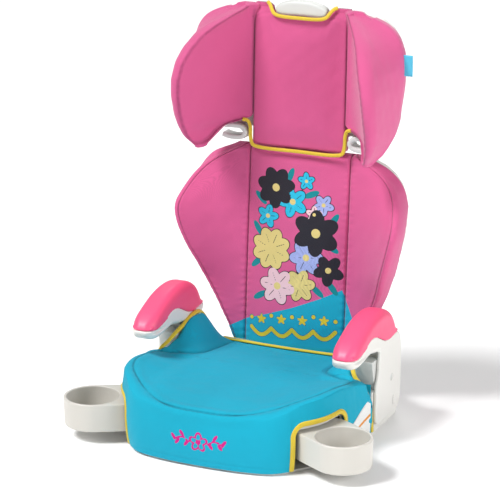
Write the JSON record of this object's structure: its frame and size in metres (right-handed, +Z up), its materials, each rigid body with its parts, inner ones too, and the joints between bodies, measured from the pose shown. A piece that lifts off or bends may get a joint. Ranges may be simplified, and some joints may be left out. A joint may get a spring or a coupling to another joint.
{
  "type": "high-back booster seat",
  "caption": "High-back belt-positioning booster seat with winged, height-adjustable head support, lifting armrests and slide-out cup holders.",
  "frame": {"origin": "on the floor, under the middle of the base's flat bottom", "axes": "+Z up, the seat faces -Y, +X to the right of someone standing in front of it"},
  "size_m": [0.5408, 0.4377, 0.683],
  "materials": {
    "white_plastic": "satin moulded polypropylene",
    "grey_plastic": "satin moulded polypropylene",
    "pink_soft_touch": "soft-touch overmould, low sheen",
    "blue_fabric": "smooth knitted polyester",
    "pink_fabric": "smooth knitted polyester",
    "yellow_binding": "woven binding tape",
    "foam": "open-cell foam",
    "white_label": "printed satin label, left blank",
    "aqua_tag": "woven side tag, left blank",
    "steel": "zinc plated"
  },
  "bodies": {
    "base": {"seat_shell": "white_plastic", "bottom_tray": "white_plastic", "tray_screw_1": "steel", "tray_screw_2": "steel", "tray_screw_3": "steel", "tray_screw_4": "steel", "seat_foam": "foam", "seat_cover": "blue_fabric", "seat_binding_rear": "yellow_binding", "hinge_rod": "steel", "side_label_right": "white_label", "arch_binding_left": "yellow_binding", "edge_binding_left": "yellow_binding", "arm_socket_left": "grey_plastic", "arch_binding_right": "yellow_binding", "edge_binding_right": "yellow_binding", "arm_socket_right": "grey_plastic"},
    "backrest": {"back_shell": "white_plastic", "back_foam_center": "foam", "back_foam_left": "foam", "back_foam_right": "foam", "back_cover": "pink_fabric", "back_rear_panel": "white_plastic", "height_rack": "grey_plastic", "back_panel_screw_1": "steel", "back_panel_screw_2": "steel", "back_panel_screw_3": "steel", "back_panel_screw_4": "steel", "hinge_hook_left": "white_plastic", "hinge_hook_right": "white_plastic"},
    "head_support": {"head_shell": "white_plastic", "head_foam_center": "foam", "head_foam_left": "foam", "head_foam_right": "foam", "head_cover": "pink_fabric", "head_binding_top": "yellow_binding", "head_binding_bottom": "yellow_binding", "head_tag": "aqua_tag", "belt_guide_left": "white_plastic", "belt_guide_right": "white_plastic", "head_stem": "grey_plastic", "stem_screw_1": "steel", "stem_screw_2": "steel", "handle_spring": "steel"},
    "head_handle": {"head_handle": "grey_plastic", "handle_link": "steel"},
    "lock_bolt": {"lock_bolt": "steel"},
    "arm_left": {"arm_body_left": "white_plastic", "arm_pad_left": "pink_soft_touch", "arm_button_spring_left": "steel"},
    "arm_button_left": {"arm_button_left": "grey_plastic"},
    "cup_holder_left": {"cup_holder_left": "white_plastic"},
    "arm_right": {"arm_body_right": "white_plastic", "arm_pad_right": "pink_soft_touch", "arm_button_spring_right": "steel"},
    "arm_button_right": {"arm_button_right": "grey_plastic"},
    "cup_holder_right": {"cup_holder_right": "white_plastic"}
  },
  "joints": [
    {"name": "back_recline", "type": "hinge", "parent": "base", "child": "backrest", "pos_m": [0, 0.201, 0.042], "axis": [1, 0, 0], "range_deg": [-16, 0]},
    {"name": "head_slide", "type": "slide", "parent": "backrest", "child": "head_support", "axis": [0, 0.0698, 0.9976], "range_m": [0, 0.15]},
    {"name": "handle_pull", "type": "slide", "parent": "head_support", "child": "head_handle", "axis": [0, 0.0698, 0.9976], "range_m": [0, 0.008], "stiffness_N_per_m": 900, "springref_m": -0.003, "deforming": ["handle_spring"]},
    {"name": "bolt_withdraw", "type": "slide", "parent": "head_support", "child": "lock_bolt", "axis": [0, 0.9976, -0.0698], "range_m": [0, 0.002]},
    {"name": "arm_lift_left", "type": "slide", "parent": "base", "child": "arm_left", "axis": [0, 0, 1], "range_m": [0, 0.03]},
    {"name": "arm_button_press_left", "type": "slide", "parent": "arm_left", "child": "arm_button_left", "axis": [1, 0, 0], "range_m": [0, 0.004], "stiffness_N_per_m": 500, "springref_m": -0.002, "deforming": ["arm_button_spring_left"]},
    {"name": "cup_slide_left", "type": "slide", "parent": "base", "child": "cup_holder_left", "axis": [0.8712, 0.4909, 0], "range_m": [0, 0.09]},
    {"name": "arm_lift_right", "type": "slide", "parent": "base", "child": "arm_right", "axis": [0, 0, 1], "range_m": [0, 0.03]},
    {"name": "arm_button_press_right", "type": "slide", "parent": "arm_right", "child": "arm_button_right", "axis": [-1, 0, 0], "range_m": [0, 0.004], "stiffness_N_per_m": 500, "springref_m": -0.002, "deforming": ["arm_button_spring_right"]},
    {"name": "cup_slide_right", "type": "slide", "parent": "base", "child": "cup_holder_right", "axis": [-0.8712, 0.4909, 0], "range_m": [0, 0.09]}
  ],
  "couplings": [
    {"joint": "bolt_withdraw", "follows": "handle_pull", "ratio": 0.25}
  ]
}
